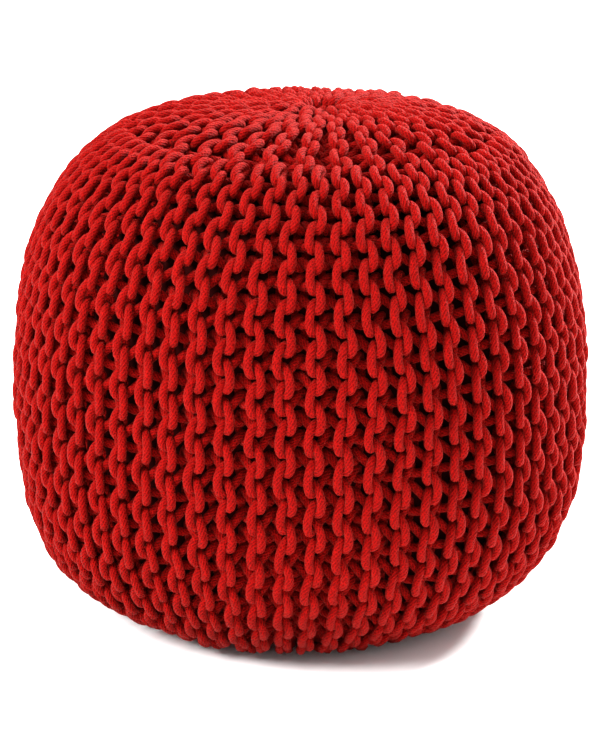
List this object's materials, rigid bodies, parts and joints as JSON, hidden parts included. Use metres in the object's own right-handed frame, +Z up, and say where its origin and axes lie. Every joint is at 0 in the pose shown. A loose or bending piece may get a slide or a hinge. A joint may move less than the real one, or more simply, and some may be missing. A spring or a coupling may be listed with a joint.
{
  "type": "rope pouf",
  "caption": "Round knitted floor pouf, filled tight, with ridges of thick cotton cord running from the crown down the sides to a flat base.",
  "frame": {"origin": "middle of the flat base, on the floor", "axes": "+Z up through the crown, -Y towards the side seen in the picture; the pouf is alike all round"},
  "size_m": [0.45, 0.45, 0.397],
  "materials": {
    "cotton_cord": "soft braided cotton cord, matt with a slight fuzz"
  },
  "bodies": {
    "root": {"knitted_cover": "cotton_cord"}
  },
  "joints": []
}
